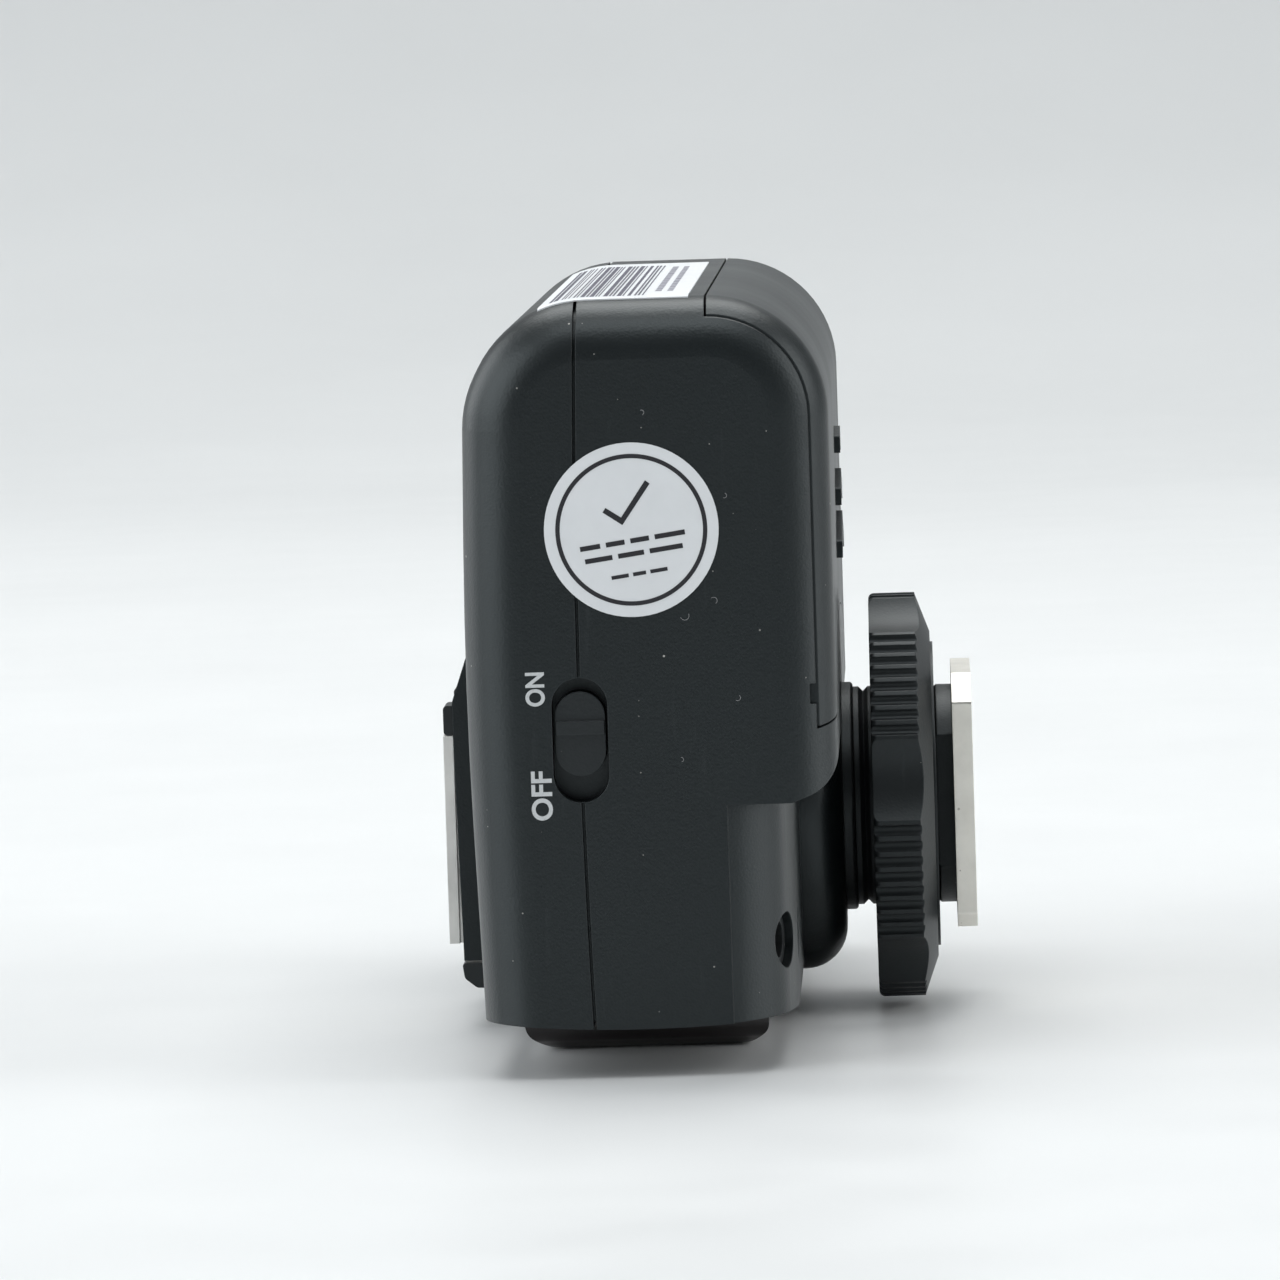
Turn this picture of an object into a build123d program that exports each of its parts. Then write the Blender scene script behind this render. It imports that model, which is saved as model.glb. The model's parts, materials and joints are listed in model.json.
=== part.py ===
from build123d import *
import math
import os

# Wireless flash trigger, standing on its front window.  Millimetres.
# +X points to the camera-shoe foot, -X to the hot shoe, +Y away from the power switch, +Z up.
# The origin is on the window's resting face, midway between the hot shoe and the foot.

# Housing
HALF_LENGTH = 44.75
WALL = 2.0
END_ROUND = 4.1
FRONT_Z = 3.9
REAR_Z = 53.7
SHOE_SIDE_X = -15.55
SHOE_SIDE_CROWN_X = -16.0
FOOT_SIDE_X = 9.7
RECESS_X = 6.45
RECESS_END_X = 4.85
RECESS_TAPER = 7.75
STEP_Z = 18.75
SEAM_ENDS_X = -7.1
SEAM_MIDDLE_X = -7.85
SEAM_GAP = 0.22
SEAM_DEPTH = 0.55

# Battery door
DOOR_SEAM_X = 1.4
DOOR_ARCH_Z = 28.95
DOOR_HALF_LENGTH = 43.7
DOOR_THICKNESS = 1.5
DOOR_GAP = 0.15
DECK_THICKNESS = 1.2
DOOR_ARCH_RADIUS = 186.0
RIB_HEIGHT = 0.45

# Batteries, size AA, lying side by side along Y
CELL_RADIUS = 7.15
CELL_LENGTH = 49.5
CELL_X = 0.3
CELL_Z = (29.9, 44.6)
TRAY_HALF_LENGTH = 28.6
BAY_HALF_LENGTH = 27.0

# Foot, all round about the axis Y = 0, Z = FOOT_Z
FOOT_Z = 15.25
BOSS_RADIUS = 12.6
BOSS_TOP_X = 9.65
FLANGE_TOP_X = 10.5
COLUMN_RADIUS = 8.0
NECK_RADIUS = 6.95
COLUMN_BORE_RADIUS = 5.9
THREAD_PITCH = 1.0
RING_RADIUS = 14.8
RING_LOW_X = 11.85
RING_RIM_X = 15.24
RING_TOP_X = 16.26
PLATE_LOW_X = 17.72
FOOT_END_X = 19.15
PLATE_HALF_WIDTH = 9.3
PLATE_Z = (6.2, 24.6)
LOBES = 6
SCALLOP_RADIUS = 7.0
SCALLOP_DEPTH = 0.95
GROOVES_PER_LOBE = 8
GROOVE_STEP = 4.5
WASHER_X = (15.25, 16.45)
WASHER_RADIUS = 11.15

PLATE_SCREWS = ((0, FOOT_Z - 6.95), (0, FOOT_Z + 6.95))
PIN_PLACES = ((0, 0, 1.2), (-1.6, -3.6, 0.75), (1.6, -3.6, 0.75), (-3.9, -2, 0.75), (3.9, -2, 0.75))

# Hot shoe
SHOE_END_X = -19.15
PLATEAU_X = -18.4
PLATEAU_HALF_WIDTH = 11.0
CHANNEL_FLOOR_X = -15.7
CHANNEL_HALF_WIDTH = 9.8
SHEET = 0.38
LIP_HALF_GAP = 6.3
SHOE_PADS = ((0, 14, 1.3), (-1.6, 10.4, 0.8), (1.6, 10.4, 0.8), (-3.9, 11.9, 0.8), (3.9, 11.9, 0.8))

# Power switch
SWITCH_X = -7.95
SLOT_WIDTH = 3.84
SLOT_Z = (19.2, 27.8)

# Sync jack
JACK_Z = 8.9
JACK_Y = -40.2
JACK_SURFACE_X = 5.79
JACK_HOLE_RADIUS = 1.95
JACK_BORE_RADIUS = 1.25

# Front window
WINDOW_X = (-13.2, 4.1)
WINDOW_HALF_LENGTH = 26.5

# Sticker on the switch end and label on the rear face
PAPER = 0.08
STICKER_RADIUS = 6.0
STICKER_PLACE = (-4.0, 37.9)
LABEL_X = (-10.1, 0.3)
LABEL_Y = (-41.6, 30.0)

# Case screws and their posts
CORNER_POSTS = ((-33.5, 8.6), (33.5, 8.6), (-36.0, 47.5), (36.0, 47.5))
SCREW_HEAD_X = 2.2

# Controls on the shoe side
BUTTON_Y = (-27.0, 27.0)
BUTTON_Z = 17.0
BUTTON_RADIUS = 3.6
LIGHT_PIPE_RADIUS = 0.9
PIPE_PLACES = [(side * y, 30.0) for side in (-1, 1) for y in (16.0, 20.0, 24.0)]

BOARD_X = (-9.8, -8.8)
FAR = 60.0

os.makedirs("parts", exist_ok=True)


def save(name, shape):
    """Write one sub-part to its STEP file."""
    export_step(shape, f"parts/{name}.step")


def box(x, y, z):
    """A box between the two ends given for each axis."""
    size = (x[1] - x[0], y[1] - y[0], z[1] - z[0])
    centre = ((x[0] + x[1]) / 2, (y[0] + y[1]) / 2, (z[0] + z[1]) / 2)
    return Pos(*centre) * Box(*size)


def rod(x0, x1, radius, y=0.0, z=FOOT_Z):
    """A cylinder along X."""
    return Pos((x0 + x1) / 2, y, z) * Rot(0, 90, 0) * Cylinder(radius, x1 - x0)


def rod_y(y0, y1, radius, x, z):
    """A cylinder along Y."""
    return Pos(x, (y0 + y1) / 2, z) * Rot(90, 0, 0) * Cylinder(radius, y1 - y0)


def rod_z(z0, z1, radius, x, y):
    """A cylinder along Z."""
    return Pos(x, y, (z0 + z1) / 2) * Cylinder(radius, z1 - z0)


def inset_points(points, depth):
    """Move every side of a counter-clockwise polygon inwards by depth."""
    moved = []
    for i, here in enumerate(points):
        before = points[i - 1]
        after = points[(i + 1) % len(points)]
        a = Vector(here[0] - before[0], here[1] - before[1]).normalized()
        b = Vector(after[0] - here[0], after[1] - here[1]).normalized()
        normal_a = Vector(-a.Y, a.X)
        normal_b = Vector(-b.Y, b.X)
        step = (normal_a + normal_b) * (depth / (1 + normal_a.dot(normal_b)))
        moved.append((here[0] + step.X, here[1] + step.Y))
    return moved


def rounded_face(points, radii):
    """A flat face from a polygon whose corners have the given radii."""
    return make_face(FilletPolyline(*points, radius=radii, close=True).edges())


def prism_xz(points, radii, half_length):
    """Extrude an X-Z outline evenly both ways along Y."""
    return extrude(Plane.XZ * rounded_face(points, radii), half_length, both=True)


def prism_xy(points, radii, z0, z1):
    """Extrude an X-Y outline from z0 to z1."""
    return Pos(0, 0, z0) * extrude(rounded_face(points, radii), z1 - z0)


def prism_yz(points, radii, x0, x1):
    """Extrude a Y-Z outline from x0 to x1."""
    return Pos(x0, 0, 0) * extrude(Plane.YZ * rounded_face(points, radii), x1 - x0)


def foot_recess(depth):
    """What is missing from the foot side below the step: it leaves a shallower, tapered lower half."""
    step = [(2, -5), (2, STEP_Z), (RECESS_X, STEP_Z), (FOOT_SIDE_X + 0.03, 19.9),
            (FOOT_SIDE_X + 0.03, 32), (FAR, 32), (FAR, -5)]
    step = inset_points(step, depth)
    zone = prism_xz(step, [0, 0, 0, max(3.0 - depth, 0.1), 0, 0, 0], FAR)
    straight = HALF_LENGTH - RECESS_TAPER
    plan = [(-FAR, -HALF_LENGTH), (RECESS_END_X, -HALF_LENGTH), (RECESS_X, -straight),
            (RECESS_X, straight), (RECESS_END_X, HALF_LENGTH), (-FAR, HALF_LENGTH)]
    corner = max(6.2 - depth, 0.1)
    radii = [0, corner, 20, 20, corner, 0]
    return zone - prism_xy(inset_points(plan, depth), radii, -30, 60)


def housing_form(depth):
    """The housing's outer form, moved inwards by depth."""
    outline = [(-15.25, FRONT_Z + 0.1), (-5.0, FRONT_Z - 0.7), (FOOT_SIDE_X, FRONT_Z + 0.2),
               (FOOT_SIDE_X, REAR_Z), (-12.0, REAR_Z), (SHOE_SIDE_X, 46.9), (SHOE_SIDE_CROWN_X, 27.0)]
    radii = [0, 90, 0, 8.3 - depth, 8.5 - depth, 8.5 - depth, 350]
    form = prism_xz(inset_points(outline, depth), radii, HALF_LENGTH - depth)
    end = HALF_LENGTH - depth
    rims = [
        edge for edge in form.edges()
        if abs(abs(edge.center().Y) - end) < 0.01 and edge.center().Z > FRONT_Z + depth + 1.5
    ]
    form = fillet(rims, END_ROUND - depth)
    return form - foot_recess(depth)


def shoe_side_of_seam(shift=0.0):
    """Everything on the shoe side of the gently curved seam between the two shells."""
    low = (SEAM_ENDS_X + shift, -5)
    middle = (SEAM_MIDDLE_X + shift, 27)
    high = (SEAM_ENDS_X + shift, 60)
    edges = ThreePointArc(low, middle, high).edges()
    edges += Polyline(high, (-FAR, 60), (-FAR, -5), low).edges()
    return extrude(Plane.XZ * make_face(edges), FAR, both=True)


def door_zone(gap):
    """The corner that the battery door covers, made smaller by gap on each of its edges."""
    end = DOOR_HALF_LENGTH - gap
    zone = box((DOOR_SEAM_X + gap, FAR), (-end, end), (20, FAR))
    return zone - rod(0, FAR, DOOR_ARCH_RADIUS + gap, 0, DOOR_ARCH_Z - DOOR_ARCH_RADIUS)


def switch_slot(width, z0, z1, y0, y1):
    """A block with the switch slot's shape, round at both ends, from y0 to y1."""
    half = width / 2
    block = box((SWITCH_X - half, SWITCH_X + half), (y0, y1), (z0 + half, z1 - half))
    for z in (z0 + half, z1 - half):
        block += rod_y(y0, y1, half, SWITCH_X, z)
    return block


def jack_place(depth):
    """The jack's frame: local z points out of the hole and depth is how far inside the surface."""
    lean = math.atan2(RECESS_X - RECESS_END_X, RECESS_TAPER)
    out = Vector(math.cos(lean), -math.sin(lean), 0)
    centre = Vector(JACK_SURFACE_X, JACK_Y, JACK_Z) - out * depth
    return Plane(origin=centre, x_dir=(0, 0, 1), z_dir=out)


def jack_rod(depth, length, radius):
    """A cylinder on the jack's axis that starts depth inside the surface and runs outwards."""
    return jack_place(depth) * extrude(Circle(radius), length)


OUTER = housing_form(0)
INNER = housing_form(WALL)
SKIN = OUTER - INNER
SHOE_HALF = shoe_side_of_seam()


def window_opening():
    return box((WINDOW_X[0] - 0.05, WINDOW_X[1] + 0.05),
               (-WINDOW_HALF_LENGTH - 0.05, WINDOW_HALF_LENGTH + 0.05), (-1, 7.4))


def front_window():
    """Smoked cap over the front lamp: gently crowned, with a flat the unit can stand on."""
    high = 7.0
    end = WINDOW_HALF_LENGTH
    outline = [(WINDOW_X[0], high), (WINDOW_X[0], 1.2), (-11.4, 0), (2.7, 0), (WINDOW_X[1], 1.1),
               (WINDOW_X[1], high)]
    cap = prism_xz(outline, [0, 1.4, 4, 2.4, 1.0, 0], end)
    side = [(-end, high), (-end, 0.9), (-25.0, 0), (25.0, 0), (end, 0.9), (end, high)]
    cap = cap & prism_yz(side, [0, 0.9, 2.5, 2.5, 0.9, 0], -20, 20)
    hollow = box((WINDOW_X[0] + 1.4, WINDOW_X[1] - 1.4),
                 (-WINDOW_HALF_LENGTH + 1.4, WINDOW_HALF_LENGTH - 1.4), (1.6, high + 1))
    return cap - hollow


def top_shell():
    """The shell that carries the hot shoe, the buttons and the lights."""
    shell = SKIN & SHOE_HALF
    groove = (OUTER - housing_form(SEAM_DEPTH)) & (SHOE_HALF - shoe_side_of_seam(-SEAM_GAP))
    shell -= groove
    plateau = [(-15.0, 5.0), (PLATEAU_X + 0.3, 5.0), (PLATEAU_X, 21.5), (PLATEAU_X, 23.8),
               (-17.2, 27.3), (-15.8, 28.2), (-15.0, 28.2)]
    raised = prism_xz(plateau[::-1], [0, 0.5, 1.5, 1.0, 0, 0, 0], PLATEAU_HALF_WIDTH)
    shell += raised - INNER
    shell -= box((-FAR, CHANNEL_FLOOR_X), (-CHANNEL_HALF_WIDTH, CHANNEL_HALF_WIDTH), (4.0, 40))
    shell -= box((-FAR, 0), (-5.3, 5.3), (7.6, 20.4))
    for y in BUTTON_Y:
        shell -= rod(-20, -10, BUTTON_RADIUS + 0.1, y, BUTTON_Z)
    for y, z in PIPE_PLACES:
        shell -= rod(-20, -10, LIGHT_PIPE_RADIUS + 0.05, y, z)
    for y, z in CORNER_POSTS:
        shell += (rod(-16, -10.0, 2.4, y, z) & INNER) - rod(-12.1, -6.0, 0.85, y, z)
    shell -= window_opening()
    shell -= switch_slot(SLOT_WIDTH, *SLOT_Z, -50, -40)
    return shell


def bottom_shell():
    """The shell with the foot boss, the recess under the step and the battery opening."""
    shell = SKIN - SHOE_HALF
    boss = rod(4.6, BOSS_TOP_X, BOSS_RADIUS)
    boss = fillet(boss.edges().sort_by(Axis.X)[-1], 3.1)
    boss -= box((0, RECESS_X), (-FAR, FAR), (20.6, FAR))
    shell += boss
    deck_top = DOOR_THICKNESS + DOOR_GAP
    deck = housing_form(deck_top) - housing_form(deck_top + DECK_THICKNESS)
    shell += deck & door_zone(-1.2)
    shell -= (OUTER - housing_form(deck_top)) & door_zone(0)
    shell -= box((2.0, FOOT_SIDE_X - deck_top + 0.01), (-BAY_HALF_LENGTH, BAY_HALF_LENGTH),
                 (CELL_Z[0] - CELL_RADIUS, REAR_Z - deck_top + 0.01))
    for z in CELL_Z:
        shell -= rod_y(-BAY_HALF_LENGTH, BAY_HALF_LENGTH, CELL_RADIUS + 0.15, CELL_X, z)
    shell -= rod(0, FAR, NECK_RADIUS + 0.05)
    shell -= rod(BOSS_TOP_X, FAR, COLUMN_RADIUS + 0.4)
    for y, z in CORNER_POSTS:
        post = rod(-7.4, 9, 2.6, y, z) & housing_form(WALL - 0.2)
        shell += post - SHOE_HALF
        shell -= rod(SCREW_HEAD_X, 20, 2.05, y, z)
        shell -= rod(-20, 20, 1.1, y, z)
    shell -= window_opening()
    shell -= switch_slot(SLOT_WIDTH, *SLOT_Z, -50, -40)
    shell -= jack_rod(4.5, 12, JACK_HOLE_RADIUS)
    for side in (-1, 1):
        shell -= box((7.9, 9.2), sorted((side * 43.3, side * 44.4)), (25.5, 26.9))
    return shell


def battery_door():
    """Full-length cover that wraps the rear edge, with three arrow-shaped grip ribs."""
    door = (OUTER - housing_form(DOOR_THICKNESS)) & door_zone(DOOR_GAP)
    bar = 1.3
    slope = 0.27
    for tip_z, half in ((40.5, 2.4), (36.8, 4.6), (33.1, 6.8)):
        rise = half * slope
        rib = [(-half, tip_z), (0, tip_z + rise), (half, tip_z), (half, tip_z + bar),
               (0, tip_z + rise + bar), (-half, tip_z + bar)]
        door += prism_yz(rib, [0.2, 0, 0.2, 0.2, 0, 0.2], FOOT_SIDE_X - 0.5, FOOT_SIDE_X + RIB_HEIGHT)
    return door


def shoe_stop():
    """The nose that closes the front end of the hot shoe's channel."""
    nose = [(-14.9, 3.0), (-17.2, 3.0), (-18.1, 3.7), (-18.25, 4.8), (-14.9, 4.8)]
    block = prism_xz(nose[::-1], [0, 0.2, 0.5, 0.5, 0], PLATEAU_HALF_WIDTH)
    return block - OUTER


def hot_shoe_rails():
    """Folded sheet: a floor, two sides and two lips that hold an accessory's foot."""
    z = (6.2, 21.3)
    floor_top = CHANNEL_FLOOR_X - SHEET
    sheet = box((floor_top, CHANNEL_FLOOR_X), (-9.75, 9.75), z)
    for side in (-1, 1):
        wall = sorted((side * 9.4, side * 9.75))
        sheet += box((PLATEAU_X, CHANNEL_FLOOR_X), wall, z)
        lip = sorted((side * LIP_HALF_GAP, side * 10.4))
        sheet += box((SHOE_END_X, PLATEAU_X), lip, z)
    return sheet - box((-17, -15), (-5.3, 5.3), (7.6, 20.4))


def shoe_guides():
    """Black blocks that lead the accessory's foot under the lips."""
    guides = [
        box((SHOE_END_X + 0.05, PLATEAU_X), sorted((side * 6.6, side * 10.4)), (21.35, 23.5))
        for side in (-1, 1)
    ]
    guides = [fillet(guide.edges().filter_by(Axis.Y).group_by(Axis.X)[0], 0.3) for guide in guides]
    return Compound(children=guides)


def shoe_springs():
    """Two leaf springs bowed up from the shoe's floor."""
    floor_top = CHANNEL_FLOOR_X - SHEET
    leaves = []
    for side in (-1, 1):
        low = [(floor_top, 8.0), (floor_top - 0.35, 14.0), (floor_top, 20.0)]
        edges = ThreePointArc(*low).edges()
        edges += Polyline(low[2], (floor_top - 0.2, 20.0)).edges()
        edges += ThreePointArc((floor_top - 0.2, 20.0), (floor_top - 0.55, 14.0),
                               (floor_top - 0.2, 8.0)).edges()
        edges += Polyline((floor_top - 0.2, 8.0), low[0]).edges()
        leaf = extrude(Plane.XZ * make_face(edges), 0.8, both=True)
        leaves.append(Pos(0, side * 7.6, 0) * leaf)
    return leaves[0] + leaves[1]


def shoe_contact_block():
    block = box((-16.15, -13.2), (-5.2, 5.2), (7.7, 20.3))
    for y, z, radius in SHOE_PADS:
        block -= rod(-17, -12, radius, y, z)
    return block


def shoe_contacts():
    pads = [rod(-16.2, -12.9, radius, y, z) for y, z, radius in SHOE_PADS]
    return Compound(children=pads)


def foot_flange():
    """Collar between the boss and the column's shoulder."""
    ring = rod(BOSS_TOP_X, FLANGE_TOP_X, COLUMN_RADIUS + 0.35)
    ring = fillet(ring.edges().sort_by(Axis.X)[-1], 0.25)
    return ring - rod(0, 20, NECK_RADIUS + 0.05)


def foot_column():
    """Hollow threaded column between the boss and the foot plate."""
    column = rod(6.6, PLATE_LOW_X, NECK_RADIUS) + rod(FLANGE_TOP_X + 0.02, PLATE_LOW_X, COLUMN_RADIUS)
    groove = 0.35
    for i in range(6):
        x = FLANGE_TOP_X + 0.75 + i * THREAD_PITCH
        crest = COLUMN_RADIUS + 0.01
        notch = [(x - groove, crest), (x, COLUMN_RADIUS - groove), (x + groove, crest)]
        face = Plane.XZ * make_face(Polyline(*notch, close=True).edges())
        column -= Pos(0, 0, FOOT_Z) * revolve(face, Axis.X)
    column -= rod(5, 20, COLUMN_BORE_RADIUS)
    for side in (-1, 1):
        flat = sorted((side * 6.4, side * 12))
        column -= box((16.5, PLATE_LOW_X - 0.01), flat, (0, 40))
    for y, z in PLATE_SCREWS:
        column -= rod(14.5, 20, 0.6, y, z)
    return column


def foot_plate():
    """The metal plate that slides into a camera's hot shoe."""
    half = PLATE_HALF_WIDTH
    low, high = PLATE_Z
    cut = 2.0
    outline = [(-half + 1, low), (half - 1, low), (half, low + 1), (half, high - cut),
               (half - cut, high), (-half + cut, high), (-half, high - cut), (-half, low + 1)]
    plate = prism_yz(outline, [0.3] * 8, PLATE_LOW_X, FOOT_END_X)
    plate -= box((0, 30), (-4.95, 4.95), (FOOT_Z - 5.0, FOOT_Z + 2.6))
    for y, z in PLATE_SCREWS:
        plate -= rod(0, 30, 0.75, y, z)
        plate -= rod(FOOT_END_X - 0.7, 30, 1.3, y, z)
    return plate


def foot_contact_block():
    block = rod(14.2, PLATE_LOW_X, COLUMN_BORE_RADIUS - 0.1)
    block += box((PLATE_LOW_X, FOOT_END_X - 0.1), (-4.9, 4.9), (FOOT_Z - 4.95, FOOT_Z + 2.55))
    for y, dz, radius in PIN_PLACES:
        block -= rod(10, 30, radius + 0.06, y, FOOT_Z + dz)
        block -= rod(10, 16.6, radius + 0.5, y, FOOT_Z + dz)
    return block


def contact_pin(y, dz, radius):
    """Sprung pin with the collar that keeps it in its block."""
    pin = rod(14.9, FOOT_END_X, radius, y, FOOT_Z + dz)
    pin = fillet(pin.edges().sort_by(Axis.X)[-1], radius * 0.6)
    return pin + rod(15.5, 16.5, radius + 0.4, y, FOOT_Z + dz)


def locking_ring():
    """Knurled ring: six ribbed lobes with smooth scallops between them."""
    ring = rod(RING_LOW_X, RING_RIM_X, RING_RADIUS)
    ring = fillet(ring.edges().sort_by(Axis.X)[0], 0.4)
    cone = Pos((RING_RIM_X + RING_TOP_X) / 2, 0, FOOT_Z) * Rot(0, 90, 0) * Cone(
        RING_RADIUS - 0.1, 11.9, RING_TOP_X - RING_RIM_X)
    ring += cone
    reach = RING_RADIUS + SCALLOP_RADIUS - SCALLOP_DEPTH
    for lobe in range(LOBES):
        middle = math.radians(9 + 60 * lobe)
        y = -reach * math.cos(middle)
        z = FOOT_Z + reach * math.sin(middle)
        ring -= rod(RING_LOW_X - 1, RING_TOP_X + 1, SCALLOP_RADIUS, y, z)
        for groove in range(GROOVES_PER_LOBE):
            along = groove - (GROOVES_PER_LOBE - 1) / 2
            angle = math.radians(39 + 60 * lobe + along * GROOVE_STEP)
            y = -(RING_RADIUS + 0.05) * math.cos(angle)
            z = FOOT_Z + (RING_RADIUS + 0.05) * math.sin(angle)
            ring -= rod(RING_LOW_X - 1, RING_RIM_X + 0.6, 0.4, y, z)
    ring -= rod(0, 30, COLUMN_RADIUS + 0.08)
    ring -= rod(WASHER_X[0] - 0.05, 30, WASHER_RADIUS + 0.2)
    return ring


def pressure_washer():
    return rod(*WASHER_X, WASHER_RADIUS) - rod(0, 30, COLUMN_RADIUS + 0.08)


def switch_knob():
    """Slider with a cross ridge, its retaining plate and the stem into the switch."""
    width = SLOT_WIDTH - 0.36
    knob = switch_slot(width, 21.0, 26.84, -44.35, -42.4)
    knob += box((SWITCH_X - width / 2 + 0.1, SWITCH_X + width / 2 - 0.1), (-44.7, -44.2), (23.9, 24.8))
    knob += box((SWITCH_X - 2.9, SWITCH_X + 2.9), (-42.65, -42.15), (18.9, 29.3))
    return knob + box((SWITCH_X - 1, SWITCH_X + 1), (-42.3, -40.6), (22.2, 25.8))


def slide_switch():
    body = box((SWITCH_X - 3, SWITCH_X + 3), (-42.05, -38.2), (17.6, 29.0))
    return body - box((SWITCH_X - 1.2, SWITCH_X + 1.2), (-43, -40.3), (20.4, 26.2))


def button(y):
    """Push button: a domed cap, a retaining collar and a short stem."""
    cap = rod(-16.1, -12.9, BUTTON_RADIUS, y, BUTTON_Z)
    cap = fillet(cap.edges().sort_by(Axis.X)[0], 0.35)
    return cap + rod(-13.25, -12.8, BUTTON_RADIUS + 0.7, y, BUTTON_Z)


def tact_switches():
    switches = []
    for y in BUTTON_Y:
        body = box((-12.2, BOARD_X[0]), (y - 3, y + 3), (BUTTON_Z - 3, BUTTON_Z + 3))
        switches.append(body + rod(-12.3, -12.2, 1.6, y, BUTTON_Z))
    return Compound(children=switches)


def light_pipes():
    pipes = [rod(-16.0, -11.6, LIGHT_PIPE_RADIUS, y, z) for y, z in PIPE_PLACES]
    return Compound(children=pipes)


def status_leds():
    leds = [box((-11.3, BOARD_X[0]), (y - 0.8, y + 0.8), (z - 0.5, z + 0.5)) for y, z in PIPE_PLACES]
    return Compound(children=leds)


def main_board():
    board = box(BOARD_X, (-41.0, 41.0), (8.0, 50.0))
    board -= box((-12, -6), (-45, -37.8), (17.2, 29.4))
    for y, z in CORNER_POSTS:
        board -= rod(-20, 0, 2.9, y, z)
    return board


def radio_module():
    can = box((-12.4, BOARD_X[0]), (10.0, 26.0), (33.5, 46.0))
    return fillet(can.edges().filter_by(Axis.X), 0.8)


def antenna():
    strip = box((-12.9, -12.3), (28.5, 31.0), (30.0, 42.0))
    strip += box((-12.9, -12.3), (28.5, 40.0), (39.5, 42.0))
    return strip + box((-12.9, BOARD_X[0]), (28.5, 29.2), (30.0, 32.0))


def processor():
    return box((-11.2, BOARD_X[0]), (-12.0, -2.0), (32.0, 42.0))


def battery_tray():
    """Cradle for the two cells, open towards the door."""
    tray = box((-7.2, 6.3), (-TRAY_HALF_LENGTH, TRAY_HALF_LENGTH), (21.6, 52.4))
    tray &= housing_form(DOOR_THICKNESS + DOOR_GAP + DECK_THICKNESS + 0.1)
    tray -= shoe_side_of_seam()
    for z in CELL_Z:
        tray -= rod_y(-BAY_HALF_LENGTH, BAY_HALF_LENGTH, CELL_RADIUS + 0.15, CELL_X, z)
    tray -= box((CELL_X, 20), (-BAY_HALF_LENGTH, BAY_HALF_LENGTH), (CELL_Z[0] - 7.3, CELL_Z[1] + 7.3))
    return tray


def battery_cell(z, way):
    """One AA cell; way is +1 when its positive end faces +Y."""
    half = CELL_LENGTH / 2
    can = rod_y(-half, half, CELL_RADIUS, CELL_X, z)
    can = fillet(can.edges().filter_by(GeomType.CIRCLE), 0.6)
    nub = sorted((way * (half - 0.1), way * (half + 1.0)))
    return can + rod_y(nub[0], nub[1], 2.7, CELL_X, z)


def battery_springs():
    """Conical springs at each cell's flat end."""
    springs = []
    wire = 0.3
    for z, way in zip(CELL_Z, (1, -1)):
        start = CELL_LENGTH / 2 + wire + 0.02
        tie = sorted((-way * start, -way * (start + 1.2)))
        spring = box((CELL_X + 2.6, CELL_X + 3.6), tie, (z - 0.3, z + 0.3))
        for turn in range(3):
            centre = Pos(CELL_X, -way * (start + turn * 0.6), z)
            spring += centre * Rot(90, 0, 0) * Torus(2.7 + 0.35 * turn, wire)
        springs.append(spring)
    return Compound(children=springs)


def battery_contacts():
    """Plates on the bay's end walls, dished where they meet a cell's positive end."""
    plates = []
    face = BAY_HALF_LENGTH - 0.35
    for z, way in zip(CELL_Z, (1, -1)):
        for end in (-1, 1):
            y = sorted((end * face, end * BAY_HALF_LENGTH))
            plate = box((CELL_X - 4.5, CELL_X + 4.5), y, (z - 5, z + 5))
            if end == way:
                dish = sorted((end * (CELL_LENGTH / 2 + 1.02), end * face))
                plate += rod_y(dish[0], dish[1], 2.2, CELL_X, z)
            plates.append(plate)
    return Compound(children=plates)


def sync_jack():
    """Jack body inside the near end; its barrel ends just inside the housing's hole."""
    barrel = jack_rod(9.0, 8.4, JACK_HOLE_RADIUS - 0.1)
    shoulder = box((-5.5, 2.2), (-42.5, -36.2), (JACK_Z - 3.1, JACK_Z + 3.1))
    shoulder &= housing_form(WALL + 0.1)
    return (barrel + shoulder) - jack_rod(8.5, 12, JACK_BORE_RADIUS)


def assist_reflector():
    """Cup that throws the lamp's light out through the window."""
    cup = Pos(-4.0, 12.0, 11.0) * Cone(4.6, 2.4, 7.0)
    bore = Pos(-4.0, 12.0, 10.9) * Cone(4.1, 1.6, 7.4)
    return cup - bore


def assist_lamp():
    return rod_z(13.0, 15.6, 1.4, -4.0, 12.0) + rod_z(14.9, 15.6, 3.4, -4.0, 12.0)


def lamp_board():
    return box((-6.6, 3.6), (4.0, 20.0), (15.65, 16.65))


def case_screws():
    """Four long screws that hold the shells together."""
    screws = []
    for y, z in CORNER_POSTS:
        head = rod(SCREW_HEAD_X, SCREW_HEAD_X + 1.5, 1.9, y, z)
        head -= box((SCREW_HEAD_X + 0.8, 20), (y - 1.2, y + 1.2), (z - 0.22, z + 0.22))
        head -= box((SCREW_HEAD_X + 0.8, 20), (y - 0.22, y + 0.22), (z - 1.2, z + 1.2))
        screws.append(head + rod(-11.9, SCREW_HEAD_X, 0.8, y, z))
    return Compound(children=screws)


def foot_screws():
    """Small countersunk screws that hold the foot plate to the column."""
    screws = []
    for y, z in PLATE_SCREWS:
        head = rod(FOOT_END_X - 0.68, FOOT_END_X - 0.1, 1.25, y, z)
        head -= box((FOOT_END_X - 0.4, 20), (y - 0.8, y + 0.8), (z - 0.15, z + 0.15))
        head -= box((FOOT_END_X - 0.4, 20), (y - 0.15, y + 0.15), (z - 0.8, z + 0.8))
        screws.append(head + rod(14.6, FOOT_END_X - 0.6, 0.58, y, z))
    return Compound(children=screws)


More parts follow.
